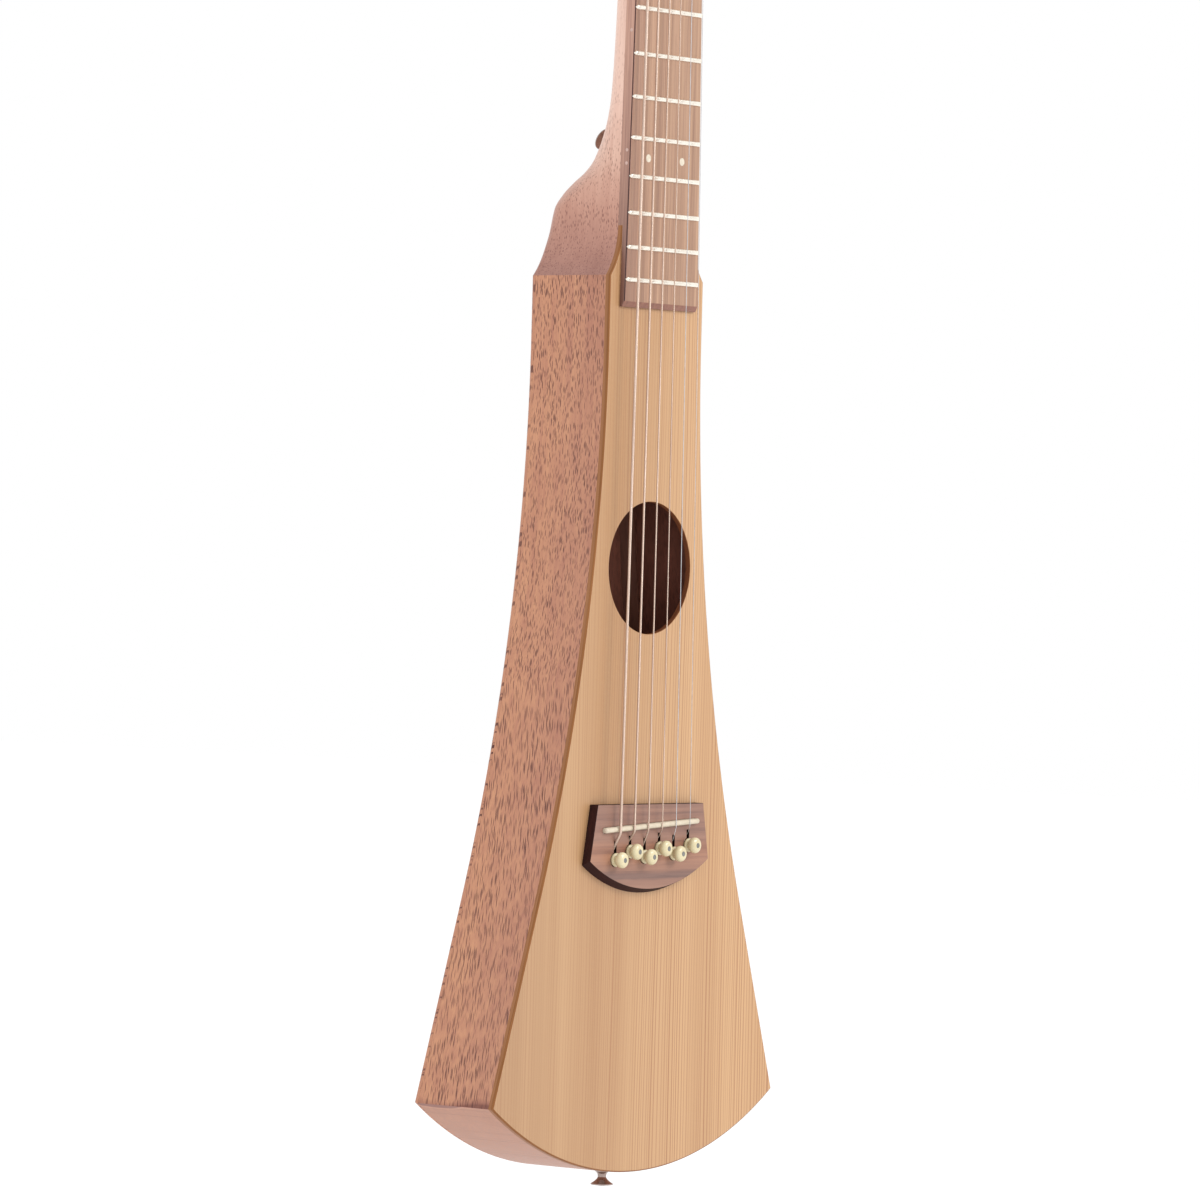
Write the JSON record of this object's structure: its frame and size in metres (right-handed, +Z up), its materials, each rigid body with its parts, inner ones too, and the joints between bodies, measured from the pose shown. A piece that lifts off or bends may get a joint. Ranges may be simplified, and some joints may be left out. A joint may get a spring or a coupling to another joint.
{
  "type": "travel guitar",
  "caption": "Slim wedge-bodied steel-string travel guitar with a hollow body, round sound hole, pin bridge, full-scale neck and turning worm-gear tuners.",
  "frame": {"origin": "lowest point of the tail on the centre line, at half the body's depth", "axes": "+Z up the neck, -Y out of the soundboard towards the strings, -X to the bass side"},
  "size_m": [0.214, 0.0595, 0.9331],
  "materials": {
    "mahogany": "satin, open pores",
    "tail_wood": "satin, fine pores",
    "spruce_top": "satin",
    "fingerboard_wood": "oiled",
    "bridge_wood": "oiled",
    "inner_wood": "bare",
    "nut_bone": "polished",
    "saddle_bone": "polished",
    "pin_plastic": "polished",
    "fret_metal": "polished",
    "strap_metal": "polished",
    "tuner_metal": "polished",
    "string_bronze": "wound",
    "string_steel": "bright",
    "truss_steel": "plain"
  },
  "bodies": {
    "guitar": {"neck": "mahogany", "truss_rod": "truss_steel", "fingerboard": "fingerboard_wood", "nut": "nut_bone", "soundboard": "spruce_top", "back_plate": "mahogany", "side_bass": "mahogany", "side_treble": "mahogany", "tail_block": "tail_wood", "top_brace": "inner_wood", "bridge_plate": "inner_wood", "bridge": "bridge_wood", "saddle": "saddle_bone", "end_pin": "strap_metal", "heel_button": "strap_metal", "fret_01": "fret_metal", "fret_02": "fret_metal", "fret_03": "fret_metal", "fret_04": "fret_metal", "fret_05": "fret_metal", "fret_06": "fret_metal", "fret_07": "fret_metal", "fret_08": "fret_metal", "fret_09": "fret_metal", "fret_10": "fret_metal", "fret_11": "fret_metal", "fret_12": "fret_metal", "fret_13": "fret_metal", "fret_14": "fret_metal", "fret_15": "fret_metal", "bridge_pin_1": "pin_plastic", "bridge_pin_2": "pin_plastic", "bridge_pin_3": "pin_plastic", "bridge_pin_4": "pin_plastic", "bridge_pin_5": "pin_plastic", "bridge_pin_6": "pin_plastic", "string_1": "string_steel", "string_2": "string_steel", "string_3": "string_bronze", "string_4": "string_bronze", "string_5": "string_bronze", "string_6": "string_bronze", "tuner_housing_1": "tuner_metal", "tuner_housing_2": "tuner_metal", "tuner_housing_3": "tuner_metal", "tuner_housing_4": "tuner_metal", "tuner_housing_5": "tuner_metal", "tuner_housing_6": "tuner_metal"},
    "key_1": {"tuner_key_1": "tuner_metal"},
    "post_1": {"tuner_post_1": "tuner_metal"},
    "key_2": {"tuner_key_2": "tuner_metal"},
    "post_2": {"tuner_post_2": "tuner_metal"},
    "key_3": {"tuner_key_3": "tuner_metal"},
    "post_3": {"tuner_post_3": "tuner_metal"},
    "key_4": {"tuner_key_4": "tuner_metal"},
    "post_4": {"tuner_post_4": "tuner_metal"},
    "key_5": {"tuner_key_5": "tuner_metal"},
    "post_5": {"tuner_post_5": "tuner_metal"},
    "key_6": {"tuner_key_6": "tuner_metal"},
    "post_6": {"tuner_post_6": "tuner_metal"}
  },
  "joints": [
    {"name": "key_1_turn", "type": "hinge", "parent": "guitar", "child": "key_1", "pos_m": [0.019, 0.00464, 0.81523], "axis": [1, 0, 0], "continuous": true},
    {"name": "post_1_turn", "type": "hinge", "parent": "guitar", "child": "post_1", "pos_m": [0.019, -0.01413, 0.81155], "axis": [0, 0.9781, -0.2079], "continuous": true},
    {"name": "key_2_turn", "type": "hinge", "parent": "guitar", "child": "key_2", "pos_m": [0.019, 0.01213, 0.85044], "axis": [1, 0, 0], "continuous": true},
    {"name": "post_2_turn", "type": "hinge", "parent": "guitar", "child": "post_2", "pos_m": [0.019, -0.00665, 0.84676], "axis": [0, 0.9781, -0.2079], "continuous": true},
    {"name": "key_3_turn", "type": "hinge", "parent": "guitar", "child": "key_3", "pos_m": [0.019, 0.01961, 0.88565], "axis": [1, 0, 0], "continuous": true},
    {"name": "post_3_turn", "type": "hinge", "parent": "guitar", "child": "post_3", "pos_m": [0.019, 0.00084, 0.88198], "axis": [0, 0.9781, -0.2079], "continuous": true},
    {"name": "key_4_turn", "type": "hinge", "parent": "guitar", "child": "key_4", "pos_m": [-0.019, 0.01961, 0.88565], "axis": [1, 0, 0], "continuous": true},
    {"name": "post_4_turn", "type": "hinge", "parent": "guitar", "child": "post_4", "pos_m": [-0.019, 0.00084, 0.88198], "axis": [0, 0.9781, -0.2079], "continuous": true},
    {"name": "key_5_turn", "type": "hinge", "parent": "guitar", "child": "key_5", "pos_m": [-0.019, 0.01213, 0.85044], "axis": [1, 0, 0], "continuous": true},
    {"name": "post_5_turn", "type": "hinge", "parent": "guitar", "child": "post_5", "pos_m": [-0.019, -0.00665, 0.84676], "axis": [0, 0.9781, -0.2079], "continuous": true},
    {"name": "key_6_turn", "type": "hinge", "parent": "guitar", "child": "key_6", "pos_m": [-0.019, 0.00464, 0.81523], "axis": [1, 0, 0], "continuous": true},
    {"name": "post_6_turn", "type": "hinge", "parent": "guitar", "child": "post_6", "pos_m": [-0.019, -0.01413, 0.81155], "axis": [0, 0.9781, -0.2079], "continuous": true}
  ],
  "couplings": [
    {"joint": "post_1_turn", "follows": "key_1_turn", "ratio": -0.066667},
    {"joint": "post_2_turn", "follows": "key_2_turn", "ratio": -0.066667},
    {"joint": "post_3_turn", "follows": "key_3_turn", "ratio": -0.066667},
    {"joint": "post_4_turn", "follows": "key_4_turn", "ratio": -0.066667},
    {"joint": "post_5_turn", "follows": "key_5_turn", "ratio": -0.066667},
    {"joint": "post_6_turn", "follows": "key_6_turn", "ratio": -0.066667}
  ]
}
